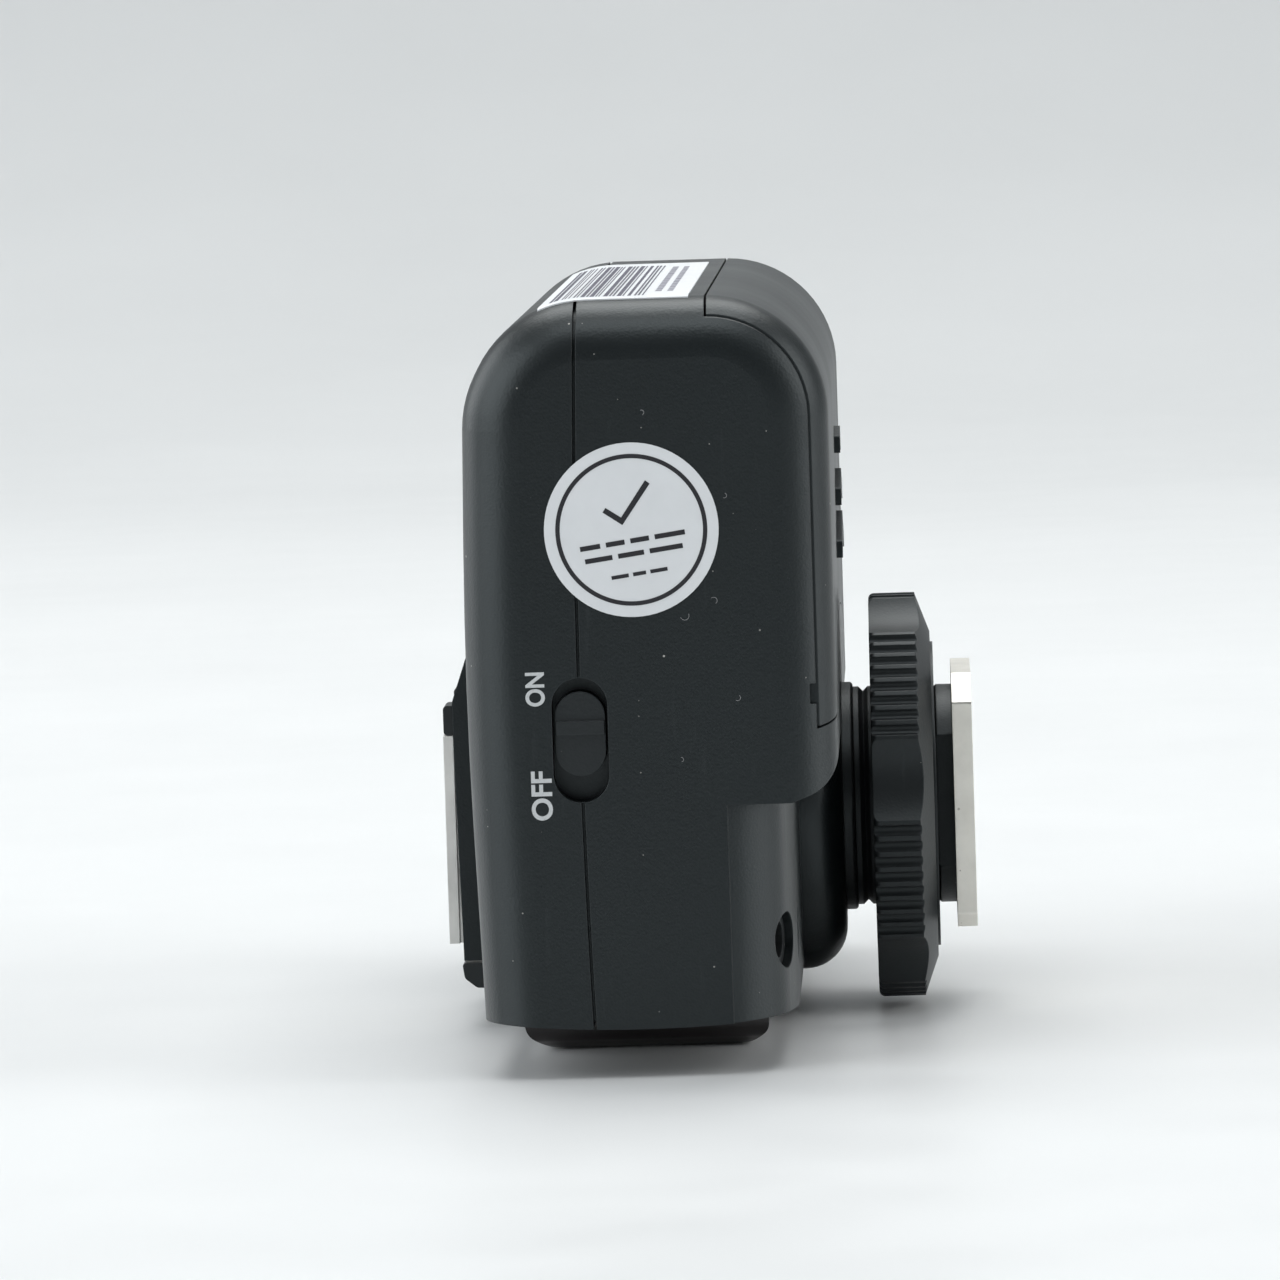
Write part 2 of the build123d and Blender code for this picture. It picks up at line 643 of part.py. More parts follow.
def inspection_sticker():
    """Round paper sticker on the switch end, over the seam."""
    return rod_y(-HALF_LENGTH - PAPER, -HALF_LENGTH, STICKER_RADIUS, *STICKER_PLACE)


def rear_label():
    """Paper label on the rear face, bent over the shell's rounded edge."""
    paper = housing_form(-0.09) - OUTER
    return paper & box(LABEL_X, LABEL_Y, (50, 60))


save("top_shell", top_shell())
save("bottom_shell", bottom_shell())
save("battery_door", battery_door())
save("front_window", front_window())
save("shoe_stop", shoe_stop())
save("hot_shoe_rails", hot_shoe_rails())
save("shoe_guides", shoe_guides())
save("shoe_springs", shoe_springs())
save("shoe_contact_block", shoe_contact_block())
save("shoe_contacts", shoe_contacts())
save("foot_flange", foot_flange())
save("foot_column", foot_column())
save("foot_plate", foot_plate())
save("foot_contact_block", foot_contact_block())
for number, place in enumerate(PIN_PLACES, start=1):
    save(f"contact_pin_{number}", contact_pin(*place))
save("locking_ring", locking_ring())
save("pressure_washer", pressure_washer())
save("switch_knob", switch_knob())
save("slide_switch", slide_switch())
save("test_button", button(BUTTON_Y[0]))
save("channel_button", button(BUTTON_Y[1]))
save("tact_switches", tact_switches())
save("light_pipes", light_pipes())
save("status_leds", status_leds())
save("main_board", main_board())
save("radio_module", radio_module())
save("antenna", antenna())
save("processor", processor())
save("battery_tray", battery_tray())
save("battery_cell_1", battery_cell(CELL_Z[0], 1))
save("battery_cell_2", battery_cell(CELL_Z[1], -1))
save("battery_springs", battery_springs())
save("battery_contacts", battery_contacts())
save("sync_jack", sync_jack())
save("assist_reflector", assist_reflector())
save("assist_lamp", assist_lamp())
save("lamp_board", lamp_board())
save("case_screws", case_screws())
save("foot_screws", foot_screws())
save("inspection_sticker", inspection_sticker())
save("rear_label", rear_label())
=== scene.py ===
import json
import math
import random

import bmesh
import bpy
from mathutils import Matrix, Vector
from mathutils.bvhtree import BVHTree


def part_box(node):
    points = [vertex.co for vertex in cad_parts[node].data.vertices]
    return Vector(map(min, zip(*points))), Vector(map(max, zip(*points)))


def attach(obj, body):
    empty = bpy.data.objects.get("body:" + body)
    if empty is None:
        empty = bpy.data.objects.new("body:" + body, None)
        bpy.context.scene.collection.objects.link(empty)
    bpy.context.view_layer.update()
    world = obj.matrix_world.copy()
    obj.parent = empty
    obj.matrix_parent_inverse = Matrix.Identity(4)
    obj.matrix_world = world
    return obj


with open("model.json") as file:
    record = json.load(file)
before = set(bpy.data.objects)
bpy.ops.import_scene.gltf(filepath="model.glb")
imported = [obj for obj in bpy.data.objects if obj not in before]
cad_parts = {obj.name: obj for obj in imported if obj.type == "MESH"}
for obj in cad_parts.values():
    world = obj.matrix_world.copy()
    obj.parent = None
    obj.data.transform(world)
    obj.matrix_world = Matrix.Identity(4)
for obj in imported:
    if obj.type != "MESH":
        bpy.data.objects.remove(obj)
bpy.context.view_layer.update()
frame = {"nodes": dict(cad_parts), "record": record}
scene = bpy.context.scene
MM = 0.001
random.seed(7)

# Finish
MOULDED_EDGE = 0.12 * MM
PLATED_EDGE = 0.07 * MM
COOL_GLOSS = (0.88, 0.97, 1.0, 1.0)
BODY_BLACK = (0.0040, 0.0056, 0.0062)
WORN_PLATING = (0.45, 0.42, 0.38)
SLEEVE_BAND_START = 12 * MM

# Print and paper
INK_THICKNESS = 0.015 * MM
INK_WEIGHT = 0.05 * MM
INK_LIFT = 0.012 * MM
SHOE_SIDE_INK_LIFT = 0.014 * MM
STICKER_TILT = math.radians(8)
STICKER_RING = (4.92 * MM, 5.22 * MM)
RING_STEPS = 120

# Marks on the shoe side, in millimetres
BUTTON_RING = (4.55, 4.72)
BUTTON_RING_STEPS = 56
LAMP_Y = (16.0, 20.0, 24.0)
LAMP_LINE = (15.0, 25.0, 27.75, 27.95)
LAMP_TICK_Z = (31.9, 32.8)
LAMP_TICK_WIDTH = 0.24

# Lint
FIBRE_STEPS = 6
FIBRE_HALF_WIDTH = 0.014 * MM
FIBRE_LIFT = 0.02 * MM

# Studio, in metres
FLOOR_Z = -0.03 * MM
SWEEP_HALF_WIDTH = 3.0
SWEEP_START_Y = 0.7
SWEEP_RADIUS = 0.9
SWEEP_STEPS = 16
BACKDROP_TOP = 4.0
LIGHT_TARGET = (0, 0, 0.03)
CAMERA_PLACE = Vector((0.01575, -0.69475, 0.0762))
CAMERA_TARGET = Vector((-0.00364, -0.04475, 0.0303))
CAMERA_LEAN = math.radians(1.8)


# ---------------------------------------------------------------- materials

def new_material(name):
    """An empty node material with its output, its shader and its object coordinates."""
    material = bpy.data.materials.new(name)
    material.use_nodes = True
    nodes = material.node_tree.nodes
    nodes.clear()
    output = nodes.new("ShaderNodeOutputMaterial")
    shader = nodes.new("ShaderNodeBsdfPrincipled")
    material.node_tree.links.new(shader.outputs[0], output.inputs[0])
    coords = nodes.new("ShaderNodeTexCoord").outputs["Object"]
    return material, shader, coords


class Graph:
    """Short calls for building one material's nodes."""

    def __init__(self, material, coords):
        self.tree = material.node_tree
        self.coords = coords

    def node(self, kind, **settings):
        made = self.tree.nodes.new(kind)
        for key, value in settings.items():
            setattr(made, key, value)
        return made

    def link(self, source, target):
        self.tree.links.new(source, target)

    def stretched(self, scale):
        """Object coordinates with each axis scaled."""
        mapping = self.node("ShaderNodeMapping")
        mapping.inputs["Scale"].default_value = scale
        self.link(self.coords, mapping.inputs["Vector"])
        return mapping.outputs[0]

    def noise(self, scale, detail=2.0, rough=0.5, vector=None):
        made = self.node("ShaderNodeTexNoise")
        made.inputs["Scale"].default_value = scale
        made.inputs["Detail"].default_value = detail
        made.inputs["Roughness"].default_value = rough
        self.link(vector or self.coords, made.inputs["Vector"])
        return made.outputs["Fac"]

    def voronoi(self, scale, output="Distance", feature="F1"):
        made = self.node("ShaderNodeTexVoronoi", feature=feature)
        made.inputs["Scale"].default_value = scale
        self.link(self.coords, made.inputs["Vector"])
        return made.outputs[output]

    def ramp(self, factor, low, high, to_low=0.0, to_high=1.0):
        """Map low..high to to_low..to_high, clamped."""
        made = self.node("ShaderNodeMapRange")
        made.inputs["From Min"].default_value = low
        made.inputs["From Max"].default_value = high
        made.inputs["To Min"].default_value = to_low
        made.inputs["To Max"].default_value = to_high
        self.link(factor, made.inputs["Value"])
        return made.outputs[0]

    def math(self, operation, a, b):
        made = self.node("ShaderNodeMath", operation=operation)
        for socket, value in zip(made.inputs, (a, b)):
            if isinstance(value, (int, float)):
                socket.default_value = value
            else:
                self.link(value, socket)
        return made.outputs[0]

    def mix(self, factor, a, b):
        made = self.node("ShaderNodeMix", data_type="RGBA")
        self.link(factor, made.inputs[0])
        for socket, value in ((made.inputs[6], a), (made.inputs[7], b)):
            if isinstance(value, tuple):
                socket.default_value = (*value[:3], 1.0)
            else:
                self.link(value, socket)
        return made.outputs[2]

    def soft_edges(self, radius):
        """Normals that round off sharp edges by radius, as moulding and plating do."""
        made = self.node("ShaderNodeBevel", samples=4)
        made.inputs["Radius"].default_value = radius
        return made.outputs[0]

    def bump(self, height, strength, distance, under=None):
        made = self.node("ShaderNodeBump")
        made.inputs["Strength"].default_value = strength
        made.inputs["Distance"].default_value = distance
        self.link(height, made.inputs["Height"])
        if under is not None:
            self.link(under, made.inputs["Normal"])
        return made.outputs[0]

    def specks(self, scale, size, share):
        """Scattered dots: size is a share of a cell, share is how many cells have one."""
        near = self.voronoi(scale)
        tint = self.node("ShaderNodeSeparateColor")
        self.link(self.voronoi(scale, "Color"), tint.inputs[0])
        reach = self.ramp(tint.outputs[0], 1 - share, 1.0, 0.0, size)
        return self.math("LESS_THAN", near, reach)


def moulded_plastic(name, colour, rough, grain=5200, depth=0.25, dust=0.5):
    """Moulded plastic: spark-eroded grain, slow changes of gloss, faint rubs and settled dust."""
    material, shader, coords = new_material(name)
    g = Graph(material, coords)
    cloud = g.noise(60, 3)
    darker = tuple(c * 0.88 for c in colour)
    lighter = tuple(c * 1.14 for c in colour)
    tone = g.mix(g.ramp(cloud, 0.35, 0.7), darker, lighter)
    rubs = g.ramp(g.noise(900, 4, 0.6, g.stretched((1.0, 0.6, 0.12))), 0.62, 0.8)
    tone = g.mix(g.math("MULTIPLY", rubs, 0.05), tone, (0.16, 0.17, 0.18))
    specks = g.specks(520, 0.062, dust * 0.6)
    fine = g.specks(1300, 0.085, dust * 0.24)
    dots = g.math("MAXIMUM", specks, g.math("MULTIPLY", fine, 0.7))
    tone = g.mix(dots, tone, (0.36, 0.35, 0.33))
    g.link(tone, shader.inputs["Base Color"])
    gloss = g.ramp(g.noise(35, 4), 0.3, 0.75, rough - 0.045, rough + 0.05)
    gloss = g.math("ADD", gloss, g.math("MULTIPLY", dots, 0.3))
    g.link(gloss, shader.inputs["Roughness"])
    shader.inputs["Specular IOR Level"].default_value = 0.5
    shader.inputs["Specular Tint"].default_value = COOL_GLOSS
    grainy = g.math("ADD", g.voronoi(grain), g.noise(grain * 0.55, 2))
    g.link(g.bump(grainy, depth, 0.00003, g.soft_edges(MOULDED_EDGE)), shader.inputs["Normal"])
    return material


def plated_metal(name, colour, rough, brush=(1.0, 1.0, 1.0), pits=0.4):
    """Plated or rolled metal with brush lines, dull patches and a few pits."""
    material, shader, coords = new_material(name)
    g = Graph(material, coords)
    lines = g.noise(2600, 5, 0.65, g.stretched(brush))
    patches = g.noise(220, 4, 0.6)
    tone = g.mix(g.ramp(patches, 0.4, 0.72), colour, tuple(c * 0.86 for c in colour))
    marks = g.specks(1500, 0.16, pits * 0.35)
    tone = g.mix(g.math("MULTIPLY", marks, 0.75), tone, WORN_PLATING)
    g.link(tone, shader.inputs["Base Color"])
    shader.inputs["Metallic"].default_value = 1.0
    gloss = g.math("ADD", g.ramp(lines, 0.3, 0.7, rough - 0.06, rough + 0.08),
                   g.ramp(patches, 0.4, 0.8, 0.0, 0.08))
    g.link(gloss, shader.inputs["Roughness"])
    g.link(g.bump(lines, 0.22, 0.00003, g.soft_edges(PLATED_EDGE)), shader.inputs["Normal"])
    return material


def smoked_acrylic():
    """Polished, nearly black window material with hairline scratches and a little dust."""
    material, shader, coords = new_material("smoked_acrylic")
    g = Graph(material, coords)
    tone = g.mix(g.ramp(g.noise(90, 3), 0.3, 0.7), (0.006, 0.0035, 0.004), (0.012, 0.007, 0.008))
    tone = g.mix(g.specks(700, 0.05, 0.3), tone, (0.25, 0.24, 0.24))
    g.link(tone, shader.inputs["Base Color"])
    scratch = g.ramp(g.noise(1500, 3, 0.7, g.stretched((0.06, 1.0, 1.0))), 0.66, 0.72)
    g.link(g.math("ADD", g.math("MULTIPLY", scratch, 0.2), 0.12), shader.inputs["Roughness"])
    shader.inputs["Coat Weight"].default_value = 0.5
    shader.inputs["Coat Roughness"].default_value = 0.06
    g.link(g.bump(g.noise(120, 2), 0.08, 0.00005), shader.inputs["Normal"])
    return material


def clear_acrylic():
    material, shader, coords = new_material("clear_acrylic")
    g = Graph(material, coords)
    g.link(g.mix(g.noise(800, 3), (0.55, 0.6, 0.62), (0.8, 0.84, 0.85)), shader.inputs["Base Color"])
    g.link(g.ramp(g.noise(2500, 3), 0.3, 0.7, 0.12, 0.3), shader.inputs["Roughness"])
    shader.inputs["Transmission Weight"].default_value = 0.55
    shader.inputs["IOR"].default_value = 1.49
    g.link(g.bump(g.noise(3000, 2), 0.15, 0.00003), shader.inputs["Normal"])
    return material


def circuit_board():
    material, shader, coords = new_material("circuit_board")
    g = Graph(material, coords)
    weave = g.voronoi(900)
    tracks = g.ramp(g.voronoi(420, feature="DISTANCE_TO_EDGE"), 0.05, 0.09)
    tone = g.mix(tracks, (0.03, 0.17, 0.07), (0.012, 0.085, 0.035))
    g.link(tone, shader.inputs["Base Color"])
    g.link(g.ramp(weave, 0.1, 0.7, 0.3, 0.45), shader.inputs["Roughness"])
    g.link(g.bump(tracks, 0.3, 0.00004), shader.inputs["Normal"])
    return material


def coated_paper(name, colour, rough=0.5):
    """Coated paper: slight mottling, fibres and soft creases."""
    material, shader, coords = new_material(name)
    g = Graph(material, coords)
    mottle = g.noise(500, 5, 0.6)
    tone = g.mix(g.ramp(mottle, 0.3, 0.7), tuple(c * 0.96 for c in colour), colour)
    tone = g.mix(g.specks(900, 0.06, 0.06), tone, (0.3, 0.3, 0.32))
    g.link(tone, shader.inputs["Base Color"])
    g.link(g.ramp(g.noise(250, 3), 0.3, 0.7, rough - 0.06, rough + 0.06), shader.inputs["Roughness"])
    g.link(g.bump(g.noise(1500, 4, 0.7), 0.1, 0.00004), shader.inputs["Normal"])
    return material


def printed_ink(name, colour, rough=0.5, breaks=0.15):
    """Screen-printed ink with slightly uneven cover."""
    material, shader, coords = new_material(name)
    g = Graph(material, coords)
    cover = g.ramp(g.noise(5200, 4, 0.7), 0.28, 0.45)
    tone = g.mix(cover, tuple(c * (1 - breaks * 2) for c in colour), colour)
    g.link(tone, shader.inputs["Base Color"])
    g.link(g.ramp(g.noise(1500, 2), 0.3, 0.7, rough - 0.08, rough + 0.08), shader.inputs["Roughness"])
    g.link(g.bump(cover, 0.15, 0.00002), shader.inputs["Normal"])
    return material


def shrink_sleeve(name, way):
    """A battery's glossy sleeve in two tones; way is +1 when its positive end faces +Y."""
    material, shader, coords = new_material(name)
    g = Graph(material, coords)
    axis = g.node("ShaderNodeSeparateXYZ")
    g.link(coords, axis.inputs[0])
    band = g.math("GREATER_THAN", g.math("MULTIPLY", axis.outputs[1], way), SLEEVE_BAND_START)
    tone = g.mix(band, (0.02, 0.03, 0.09), (0.5, 0.33, 0.1))
    tone = g.mix(g.ramp(g.noise(2600, 3), 0.5, 0.8, 0.0, 0.05), tone, (0.4, 0.4, 0.4))
    g.link(tone, shader.inputs["Base Color"])
    g.link(g.ramp(g.noise(900, 3), 0.3, 0.7, 0.24, 0.3), shader.inputs["Roughness"])
    g.link(g.bump(g.noise(200, 2), 0.1, 0.0001), shader.inputs["Normal"])
    return material


def led_lens():
    material, shader, coords = new_material("led_lens")
    g = Graph(material, coords)
    g.link(g.mix(g.noise(1200, 3), (0.75, 0.62, 0.3), (0.9, 0.85, 0.7)), shader.inputs["Base Color"])
    g.link(g.ramp(g.noise(2000, 2), 0.3, 0.7, 0.15, 0.3), shader.inputs["Roughness"])
    shader.inputs["Subsurface Weight"].default_value = 0.2
    shader.inputs["Subsurface Scale"].default_value = 0.001
    return material


finishes = {
    "housing_plastic": moulded_plastic("soft_black_shell", BODY_BLACK, 0.38),
    "door_plastic": moulded_plastic("soft_black_door", BODY_BLACK, 0.4),
    "black_nylon": moulded_plastic("satin_nylon", (0.012, 0.013, 0.0135), 0.42, 4200, 0.2),
    "ring_plastic": moulded_plastic("ring_black", (0.010, 0.0112, 0.012), 0.46, 4600, 0.22, 0.35),
    "button_plastic": moulded_plastic("button_grey", (0.022, 0.023, 0.025), 0.42, 5000, 0.2),
    "knob_plastic": moulded_plastic("knob_black", (0.009, 0.0098, 0.0105), 0.38, 4800, 0.18),
    "chip_plastic": moulded_plastic("chip_epoxy", (0.018, 0.018, 0.02), 0.5, 3800, 0.3, 0.2),
    "smoked_window": smoked_acrylic(),
    "shoe_metal": plated_metal("shoe_nickel", (0.90, 0.89, 0.86), 0.32, (1.0, 1.0, 0.08)),
    "foot_metal": plated_metal("foot_nickel", (0.95, 0.925, 0.855), 0.36, (1.0, 0.1, 1.0)),
    "spring_steel": plated_metal("rolled_strip", (0.6, 0.6, 0.58), 0.24, (1.0, 0.1, 1.0)),
    "shield_metal": plated_metal("tinned_can", (0.66, 0.66, 0.66), 0.3, (1.0, 1.0, 0.2)),
    "contact_gold": plated_metal("gold_flash", (0.85, 0.62, 0.26), 0.22),
    "screw_steel": plated_metal("black_oxide", (0.09, 0.09, 0.095), 0.38),
    "plate_screw_steel": plated_metal("nickel_screw", (0.7, 0.69, 0.66), 0.28),
    "reflector_chrome": plated_metal("metallised_cup", (0.9, 0.9, 0.9), 0.1, pits=0.1),
    "light_pipe_clear": clear_acrylic(),
    "led_lens": led_lens(),
    "board": circuit_board(),
    "cell_wrap": shrink_sleeve("shrink_sleeve", 1),
    "sticker_paper": coated_paper("sticker_paper", (0.68, 0.70, 0.72)),
}
slot_of = {entry["node"]: entry["material_slot"] for entry in frame["record"]["subparts"]}
for node, thing in frame["nodes"].items():
    thing.data.materials.clear()
    thing.data.materials.append(finishes[slot_of[node]])
frame["nodes"]["battery_cell_2"].data.materials[0] = shrink_sleeve("shrink_sleeve_reversed", -1)


# ---------------------------------------------------------------- shapes

def add_mesh(name, build, body, slot=None, material=None):
    """Make a piece from a bmesh function, and let it ride on a body."""
    mesh = bpy.data.meshes.new(name)
    shape = bmesh.new()
    build(shape)
    shape.to_mesh(mesh)
    shape.free()
    piece = bpy.data.objects.new(name, mesh)
    scene.collection.objects.link(piece)
    mesh.materials.append(material or finishes[slot])
    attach(piece, body)
    return piece


def surface_of(node):
    """A search tree over one CAD node's faces."""
    shape = bmesh.new()
    shape.from_mesh(frame["nodes"][node].data)
    tree = BVHTree.FromBMesh(shape)
    shape.free()
    return tree


def text_piece(name, words, size, place, turn, body, material):
    """Printed lettering as a thin mesh of size (length, height), with its plane on a face."""
    curve = bpy.data.curves.new(name, "FONT")
    curve.body = words
    curve.size = size[1] * 1.4
    curve.align_x = "CENTER"
    curve.align_y = "CENTER"
    curve.extrude = INK_THICKNESS
    curve.offset = INK_WEIGHT
    temporary = bpy.data.objects.new(name + "_outline", curve)
    scene.collection.objects.link(temporary)
    bpy.context.view_layer.update()
    outline = temporary.evaluated_get(bpy.context.evaluated_depsgraph_get())
    mesh = bpy.data.meshes.new_from_object(outline)
    bpy.data.objects.remove(temporary)
    xs = [vertex.co.x for vertex in mesh.vertices]
    ys = [vertex.co.y for vertex in mesh.vertices]
    middle = Vector(((min(xs) + max(xs)) / 2, (min(ys) + max(ys)) / 2, 0))
    stretch = (size[0] / (max(xs) - min(xs)), size[1] / (max(ys) - min(ys)), 1, 1)
    mesh.transform(Matrix.Translation(-middle))
    mesh.transform(Matrix.Diagonal(stretch))
    mesh.transform(Matrix.Translation(place) @ turn.to_4x4())
    mesh.name = name
    mesh.materials.clear()
    mesh.materials.append(material)
    piece = bpy.data.objects.new(name, mesh)
    scene.collection.objects.link(piece)
    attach(piece, body)
    return piece


# ---------------------------------------------------------------- legends and labels

white_ink = printed_ink("legend_ink", (0.52, 0.54, 0.55))
black_ink = printed_ink("sticker_ink", (0.012, 0.012, 0.016))
violet_ink = printed_ink("label_ink", (0.055, 0.052, 0.085))
grey_ink = printed_ink("label_ink_light", (0.24, 0.24, 0.29))

end_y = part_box("bottom_shell")[0].y
# Legends read upwards, with their tops towards the hot shoe.
upwards = Matrix(((0, -1, 0), (0, 0, -1), (1, 0, 0)))
for name, words, size, x, z in (("legend_on", "ON", (2.34, 1.34), -10.97, 27.1),
                                ("legend_off", "OFF", (3.4, 1.46), -10.72, 19.75)):
    place = Vector((x * MM, end_y - 0.01 * MM, z * MM))
    text_piece(name, words, (size[0] * MM, size[1] * MM), place, upwards, "housing", white_ink)

sticker_low, sticker_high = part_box("inspection_sticker")
sticker_centre = (sticker_low + sticker_high) / 2
sticker_face = sticker_low.y


def flat_on_sticker(shape, outline, height):
    """A thin polygon lying on the sticker, from points about its centre in its own tilted frame."""
    def place(u, v, y):
        x = u * math.cos(STICKER_TILT) - v * math.sin(STICKER_TILT)
        z = u * math.sin(STICKER_TILT) + v * math.cos(STICKER_TILT)
        return Vector((sticker_centre.x + x, y, sticker_centre.z + z))
    back = [shape.verts.new(place(u, v, sticker_face)) for u, v in outline]
    front = [shape.verts.new(place(u, v, sticker_face - height)) for u, v in outline]
    shape.faces.new(front)
    for i in range(len(outline)):
        j = (i + 1) % len(outline)
        shape.faces.new((back[i], back[j], front[j], front[i]))


def sticker_ring(shape):
    """The printed circle near the sticker's edge."""
    inner, outer = STICKER_RING
    loops = []
    for radius, y in ((inner, 0), (inner, INK_LIFT), (outer, INK_LIFT), (outer, 0)):
        loop = []
        for i in range(RING_STEPS):
            a = 2 * math.pi * i / RING_STEPS
            loop.append(shape.verts.new((sticker_centre.x + radius * math.cos(a), sticker_face - y,
                                         sticker_centre.z + radius * math.sin(a))))
        loops.append(loop)
    for a, b in zip(loops, loops[1:]):
        for i in range(RING_STEPS):
            j = (i + 1) % RING_STEPS
            shape.faces.new((a[i], a[j], b[j], b[i]))


def sticker_mark(shape):
    """A tick over three rows of plain bars: the sticker says only that the unit was inspected."""
    tick = [(-1.75, 1.5), (-1.5, 1.78), (-0.55, 0.95), (1.5, 3.2), (1.78, 2.92), (-0.55, 0.42)]
    flat_on_sticker(shape, [(u * MM, v * MM) for u, v in tick], INK_LIFT)
    for v, thick, spans in ((-0.75, 0.17, ((-3.7, -2.3), (-1.9, -0.6), (-0.2, 1.1), (1.5, 3.6))),
                            (-1.65, 0.17, ((-3.5, -1.6), (-1.2, 0.6), (1.0, 3.3))),
                            (-3.05, 0.13, ((-1.9, -0.7), (-0.4, 0.5), (0.8, 2.0)))):
        for left, right in spans:
            bar = [(left, v - thick), (right, v - thick), (right, v + thick), (left, v + thick)]
            flat_on_sticker(shape, [(a * MM, b * MM) for a, b in bar], INK_LIFT)


add_mesh("sticker_ring", sticker_ring, "housing", material=black_ink)
add_mesh("sticker_mark", sticker_mark, "housing", material=black_ink)

label_low, label_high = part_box("rear_label")
label_tree = surface_of("rear_label")


def strip_on_label(shape, x0, x1, y0, y1, steps=10):
    """A printed bar that follows the label over the shell's rounded edge."""
    rows = []
    for i in range(steps + 1):
        x = x0 + (x1 - x0) * i / steps
        pair = []
        for y in (y0, y1):
            hit, normal, _, _ = label_tree.ray_cast(Vector((x, y, 0.08)), Vector((0, 0, -1)))
            if hit is None:
                return
            pair.append(shape.verts.new(hit + normal * INK_LIFT))
        rows.append(pair)
    for a, b in zip(rows, rows[1:]):
        shape.faces.new((a[0], b[0], b[1], a[1]))


def label_bars(shape):
    """Made-up bars that run along the housing, side by side across the label."""
    x = label_low.x + 0.75 * MM
    end = label_low.x + 7.3 * MM
    while x < end:
        wide = random.choice((0.1, 0.14, 0.22, 0.3)) * MM
        strip_on_label(shape, x, x + wide, label_low.y + 1.7 * MM, label_high.y - 6 * MM, 2)
        x += wide + random.choice((0.1, 0.16, 0.24)) * MM


def label_blocks(shape):
    """Plain blocks that stand for the small print."""
    y = label_low.y + 9.0 * MM
    while y < label_high.y - 9 * MM:
        long = random.uniform(1.4, 3.6) * MM
        for x0, x1 in ((7.9, 8.35), (8.75, 9.15)):
            strip_on_label(shape, label_low.x + x0 * MM, label_low.x + x1 * MM, y, y + long, 3)
        y += long + 0.7 * MM


add_mesh("label_bars", label_bars, "housing", material=violet_ink)
add_mesh("label_blocks", label_blocks, "housing", material=grey_ink)


shoe_side = surface_of("top_shell")


def print_on_shoe_side(shape, outline):
    """A thin printed polygon on the shoe side, from (y, z) points in millimetres."""
    corners = []
    for y, z in outline:
        hit, _, _, _ = shoe_side.ray_cast(Vector((-0.03, y * MM, z * MM)), Vector((1, 0, 0)))
        if hit is None:
            return
        corners.append(shape.verts.new(hit + Vector((-SHOE_SIDE_INK_LIFT, 0, 0))))
    shape.faces.new(corners)


def middle_of(node):
    """Where a node's middle is on the shoe side, as (y, z) in millimetres."""
    low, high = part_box(node)
    middle = (low + high) / 2
    return middle.y / MM, middle.z / MM


def shoe_side_marks(shape):
    """Circles round the buttons, a bolt and three dots for what they do, and lines under the lamps."""
    test_y, test_z = middle_of("test_button")
    channel_y, channel_z = middle_of("channel_button")
    inner, outer = BUTTON_RING
    for y, z in ((test_y, test_z), (channel_y, channel_z)):
        for i in range(BUTTON_RING_STEPS):
            a0 = 2 * math.pi * i / BUTTON_RING_STEPS
            a1 = 2 * math.pi * (i + 1) / BUTTON_RING_STEPS
            corners = ((inner, a0), (outer, a0), (outer, a1), (inner, a1))
            print_on_shoe_side(shape, [(y + r * math.cos(a), z + r * math.sin(a)) for r, a in corners])
    for half_bolt in (((0.4, 8.6), (-0.9, 6.6), (-0.1, 6.6)), ((-0.4, 4.9), (0.9, 6.9), (0.1, 6.9))):
        print_on_shoe_side(shape, [(test_y + u, test_z + v) for u, v in half_bolt])
    for step in (-1, 0, 1):
        dot = [(0.32 * math.cos(k * math.pi / 6), 0.32 * math.sin(k * math.pi / 6)) for k in range(12)]
        print_on_shoe_side(shape, [(channel_y + step * 1.2 + u, channel_z + 6.4 + v) for u, v in dot])
    near, far, low, high = LAMP_LINE
    tick_low, tick_high = LAMP_TICK_Z
    for side in (-1, 1):
        print_on_shoe_side(shape, [(side * near, low), (side * far, low), (side * far, high),
                                   (side * near, high)])
        for count, y in enumerate(LAMP_Y, start=1):
            for tick in range(count):
                left = side * y - 0.5 * (count - 1) + tick - LAMP_TICK_WIDTH / 2
                right = left + LAMP_TICK_WIDTH
                print_on_shoe_side(shape, [(left, tick_low), (right, tick_low), (right, tick_high),
                                           (left, tick_high)])


add_mesh("shoe_side_marks", shoe_side_marks, "housing", material=white_ink)

end_tree = surface_of("bottom_shell")
lint = printed_ink("lint", (0.34, 0.34, 0.35), 0.8)


def lint_fibres(shape):
    """A few hair-thin fibres lying on the switch end, near the sticker and the seam."""
    for x, z, long, turn in ((-0.4, 31.6, 0.9, 0.4), (1.7, 33.0, 0.7, 2.2), (2.6, 40.0, 0.5, 1.2),
                             (-2.9, 46.0, 0.5, 2.0), (3.1, 26.0, 0.6, 0.9), (-0.9, 22.0, 0.45, 1.7)):
        rows = []
        for i in range(FIBRE_STEPS + 1):
            t = i / FIBRE_STEPS
            bend = turn + 1.6 * (t - 0.5)
            u = x * MM + long * MM * (t - 0.5) * math.cos(bend)
            v = z * MM + long * MM * (t - 0.5) * math.sin(bend)
            hit, normal, _, _ = end_tree.ray_cast(Vector((u, -0.06, v)), Vector((0, 1, 0)))
            if hit is None:
                return
            side = Vector((-math.sin(bend), 0, math.cos(bend))) * FIBRE_HALF_WIDTH
            lift = normal * FIBRE_LIFT
            rows.append((shape.verts.new(hit + lift - side), shape.verts.new(hit + lift + side)))
        for a, b in zip(rows, rows[1:]):
            shape.faces.new((a[0], b[0], b[1], a[1]))


